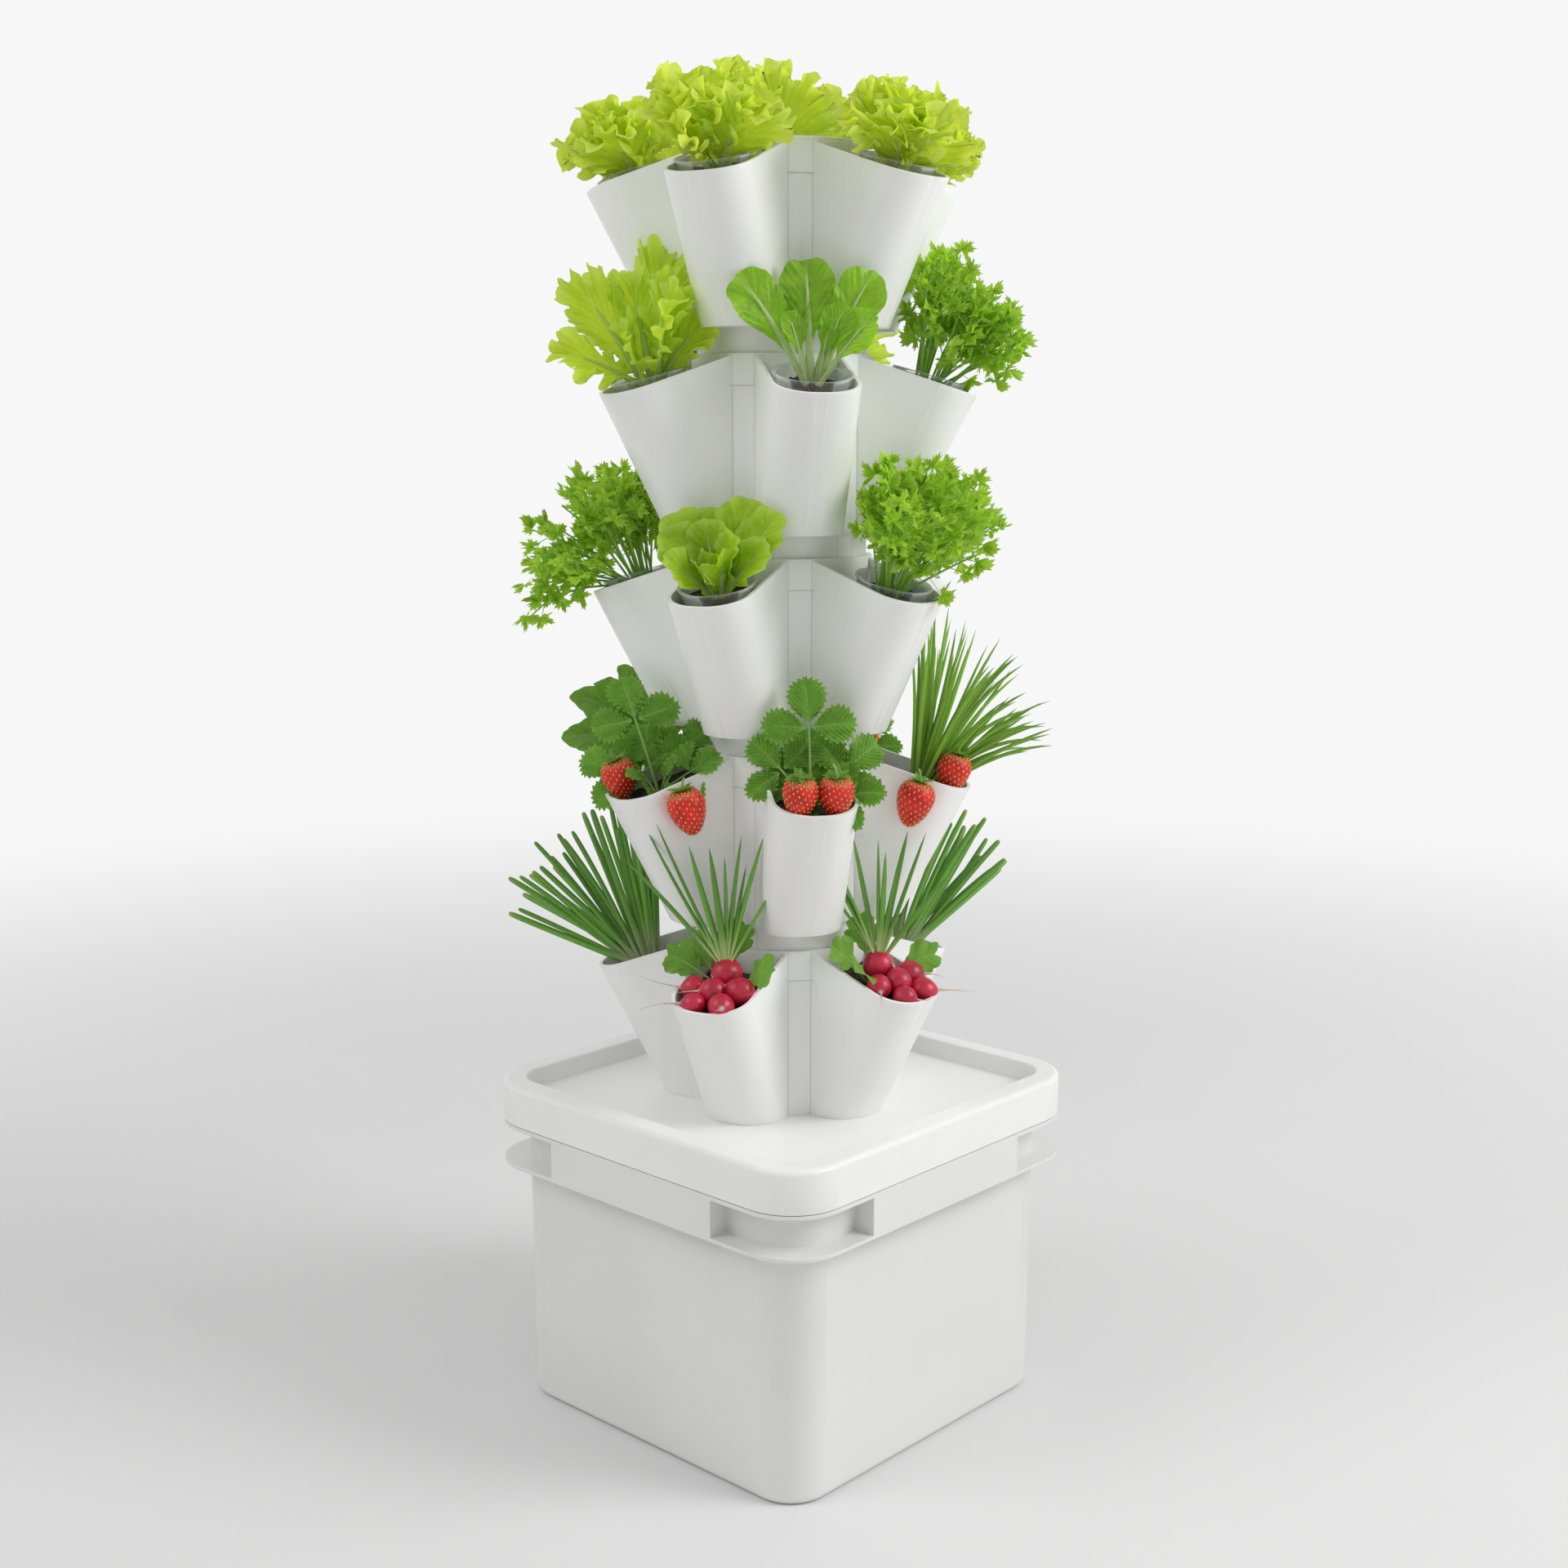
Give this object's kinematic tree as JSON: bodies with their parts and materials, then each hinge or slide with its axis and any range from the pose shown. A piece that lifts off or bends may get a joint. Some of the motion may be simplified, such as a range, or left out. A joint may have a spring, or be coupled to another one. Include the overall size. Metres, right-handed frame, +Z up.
{
  "type": "hydroponic tower",
  "caption": "Hydroponic tower: staggered white pocket tiers planted with salad, herbs and fruit, stacked on a square lidded reservoir that holds a pump and riser.",
  "frame": {"origin": "centre of the bucket's footprint, on the floor it stands on", "axes": "+Z up the tower; the bucket's sides face along X and Y; the cord outlet is on the +Y side"},
  "size_m": [0.4135, 0.4107, 1.0055],
  "materials": {
    "white_plastic": "satin",
    "lettuce_green": "matte",
    "leaf_green": "matte",
    "blade_green": "matte",
    "berry_red": "gloss",
    "radish_red": "gloss",
    "clear_plastic": "gloss",
    "growing_medium": "matte",
    "seal_rubber": "matte",
    "pump_plastic": "satin",
    "shaft_steel": "brushed"
  },
  "bodies": {
    "bucket": {"reservoir_bucket": "white_plastic", "cord_grommet": "seal_rubber", "pump_motor": "pump_plastic", "pump_chamber": "pump_plastic", "pump_shaft": "shaft_steel", "pump_strainer": "pump_plastic", "pump_feet": "seal_rubber", "riser_lower": "white_plastic", "riser_middle": "white_plastic", "riser_upper": "white_plastic", "coupling_lower": "white_plastic", "coupling_upper": "white_plastic", "spray_nozzle": "white_plastic"},
    "lid": {"reservoir_lid": "white_plastic", "lid_gasket": "seal_rubber"},
    "tier_5": {"tier_5": "white_plastic", "drip_disc_5": "white_plastic"},
    "tier_4": {"tier_4": "white_plastic", "drip_disc_4": "white_plastic"},
    "tier_3": {"tier_3": "white_plastic", "drip_disc_3": "white_plastic"},
    "tier_2": {"tier_2": "white_plastic", "drip_disc_2": "white_plastic"},
    "tier_1": {"tier_1": "white_plastic", "drip_disc_1": "white_plastic"},
    "cap": {"top_cap": "white_plastic"},
    "impeller": {"pump_impeller": "pump_plastic"},
    "flow_dial": {"pump_flow_dial": "pump_plastic"},
    "pot_1a": {"curly_lettuce_pot_1a": "lettuce_green"},
    "pot_1b": {"curly_lettuce_pot_1b": "lettuce_green"},
    "pot_1c": {"curly_lettuce_pot_1c": "lettuce_green"},
    "pot_1d": {"curly_lettuce_pot_1d": "lettuce_green"},
    "pot_1e": {"curly_lettuce_pot_1e": "lettuce_green"},
    "pot_2a": {"parsley_pot_2a": "leaf_green"},
    "pot_2b": {"leaf_lettuce_pot_2b": "lettuce_green"},
    "pot_2c": {"chard_pot_2c": "leaf_green"},
    "pot_2d": {"leaf_lettuce_pot_2d": "lettuce_green"},
    "pot_2e": {"chard_pot_2e": "leaf_green"},
    "pot_3a": {"parsley_pot_3a": "leaf_green"},
    "pot_3b": {"parsley_pot_3b": "leaf_green"},
    "pot_3c": {"butter_lettuce_pot_3c": "lettuce_green"},
    "pot_3d": {"parsley_pot_3d": "leaf_green"},
    "pot_3e": {"butter_lettuce_pot_3e": "lettuce_green"},
    "pot_4a": {"chives_pot_4a": "blade_green", "strawberries_4a": "berry_red"},
    "pot_4b": {"strawberry_pot_4b": "leaf_green", "strawberries_4b": "berry_red"},
    "pot_4c": {"spinach_pot_4c": "leaf_green"},
    "pot_4d": {"strawberry_pot_4d": "leaf_green", "strawberries_4d": "berry_red"},
    "pot_4e": {"strawberry_pot_4e": "leaf_green", "strawberries_4e": "berry_red"},
    "pot_5a": {"radish_pot_5a": "blade_green", "radishes_5a": "radish_red"},
    "pot_5b": {"onion_pot_5b": "blade_green"},
    "pot_5c": {"radish_pot_5c": "blade_green", "radishes_5c": "radish_red"},
    "pot_5d": {"onion_pot_5d": "blade_green"},
    "pot_5e": {"radish_pot_5e": "blade_green", "radishes_5e": "radish_red"}
  },
  "joints": [
    {"name": "lid_lift", "type": "slide", "parent": "bucket", "child": "lid", "axis": [0, 0, 1], "range_m": [0, 0.25]},
    {"name": "tier_5_lift", "type": "slide", "parent": "lid", "child": "tier_5", "axis": [0, 0, 1], "range_m": [0, 0.12]},
    {"name": "tier_4_lift", "type": "slide", "parent": "tier_5", "child": "tier_4", "axis": [0, 0, 1], "range_m": [0, 0.12]},
    {"name": "tier_3_lift", "type": "slide", "parent": "tier_4", "child": "tier_3", "axis": [0, 0, 1], "range_m": [0, 0.12]},
    {"name": "tier_2_lift", "type": "slide", "parent": "tier_3", "child": "tier_2", "axis": [0, 0, 1], "range_m": [0, 0.12]},
    {"name": "tier_1_lift", "type": "slide", "parent": "tier_2", "child": "tier_1", "axis": [0, 0, 1], "range_m": [0, 0.12]},
    {"name": "cap_lift", "type": "slide", "parent": "tier_1", "child": "cap", "axis": [0, 0, 1], "range_m": [0, 0.1]},
    {"name": "impeller_spin", "type": "hinge", "parent": "bucket", "child": "impeller", "pos_m": [-0.01, 0, 0.038], "axis": [1, 0, 0], "continuous": true},
    {"name": "flow_dial_turn", "type": "hinge", "parent": "bucket", "child": "flow_dial", "pos_m": [0.03, 0, 0.038], "axis": [1, 0, 0], "range_deg": [0, 90]},
    {"name": "pot_1a_lift", "type": "slide", "parent": "tier_1", "child": "pot_1a", "axis": [0.2756, 0, 0.9613], "range_m": [0, 0.07]},
    {"name": "pot_1b_lift", "type": "slide", "parent": "tier_1", "child": "pot_1b", "axis": [0.0852, 0.2621, 0.9613], "range_m": [0, 0.07]},
    {"name": "pot_1c_lift", "type": "slide", "parent": "tier_1", "child": "pot_1c", "axis": [-0.223, 0.162, 0.9613], "range_m": [0, 0.07]},
    {"name": "pot_1d_lift", "type": "slide", "parent": "tier_1", "child": "pot_1d", "axis": [-0.223, -0.162, 0.9613], "range_m": [0, 0.07]},
    {"name": "pot_1e_lift", "type": "slide", "parent": "tier_1", "child": "pot_1e", "axis": [0.0852, -0.2621, 0.9613], "range_m": [0, 0.07]},
    {"name": "pot_2a_lift", "type": "slide", "parent": "tier_2", "child": "pot_2a", "axis": [0.223, 0.162, 0.9613], "range_m": [0, 0.07]},
    {"name": "pot_2b_lift", "type": "slide", "parent": "tier_2", "child": "pot_2b", "axis": [-0.0852, 0.2621, 0.9613], "range_m": [0, 0.07]},
    {"name": "pot_2c_lift", "type": "slide", "parent": "tier_2", "child": "pot_2c", "axis": [-0.2756, 0, 0.9613], "range_m": [0, 0.07]},
    {"name": "pot_2d_lift", "type": "slide", "parent": "tier_2", "child": "pot_2d", "axis": [-0.0852, -0.2621, 0.9613], "range_m": [0, 0.07]},
    {"name": "pot_2e_lift", "type": "slide", "parent": "tier_2", "child": "pot_2e", "axis": [0.223, -0.162, 0.9613], "range_m": [0, 0.07]},
    {"name": "pot_3a_lift", "type": "slide", "parent": "tier_3", "child": "pot_3a", "axis": [0.2756, 0, 0.9613], "range_m": [0, 0.07]},
    {"name": "pot_3b_lift", "type": "slide", "parent": "tier_3", "child": "pot_3b", "axis": [0.0852, 0.2621, 0.9613], "range_m": [0, 0.07]},
    {"name": "pot_3c_lift", "type": "slide", "parent": "tier_3", "child": "pot_3c", "axis": [-0.223, 0.162, 0.9613], "range_m": [0, 0.07]},
    {"name": "pot_3d_lift", "type": "slide", "parent": "tier_3", "child": "pot_3d", "axis": [-0.223, -0.162, 0.9613], "range_m": [0, 0.07]},
    {"name": "pot_3e_lift", "type": "slide", "parent": "tier_3", "child": "pot_3e", "axis": [0.0852, -0.2621, 0.9613], "range_m": [0, 0.07]},
    {"name": "pot_4a_lift", "type": "slide", "parent": "tier_4", "child": "pot_4a", "axis": [0.223, 0.162, 0.9613], "range_m": [0, 0.03]},
    {"name": "pot_4b_lift", "type": "slide", "parent": "tier_4", "child": "pot_4b", "axis": [-0.0852, 0.2621, 0.9613], "range_m": [0, 0.03]},
    {"name": "pot_4c_lift", "type": "slide", "parent": "tier_4", "child": "pot_4c", "axis": [-0.2756, 0, 0.9613], "range_m": [0, 0.03]},
    {"name": "pot_4d_lift", "type": "slide", "parent": "tier_4", "child": "pot_4d", "axis": [-0.0852, -0.2621, 0.9613], "range_m": [0, 0.03]},
    {"name": "pot_4e_lift", "type": "slide", "parent": "tier_4", "child": "pot_4e", "axis": [0.223, -0.162, 0.9613], "range_m": [0, 0.03]},
    {"name": "pot_5a_lift", "type": "slide", "parent": "tier_5", "child": "pot_5a", "axis": [0.2756, 0, 0.9613], "range_m": [0, 0.03]},
    {"name": "pot_5b_lift", "type": "slide", "parent": "tier_5", "child": "pot_5b", "axis": [0.0852, 0.2621, 0.9613], "range_m": [0, 0.03]},
    {"name": "pot_5c_lift", "type": "slide", "parent": "tier_5", "child": "pot_5c", "axis": [-0.223, 0.162, 0.9613], "range_m": [0, 0.03]},
    {"name": "pot_5d_lift", "type": "slide", "parent": "tier_5", "child": "pot_5d", "axis": [-0.223, -0.162, 0.9613], "range_m": [0, 0.03]},
    {"name": "pot_5e_lift", "type": "slide", "parent": "tier_5", "child": "pot_5e", "axis": [0.0852, -0.2621, 0.9613], "range_m": [0, 0.03]}
  ]
}
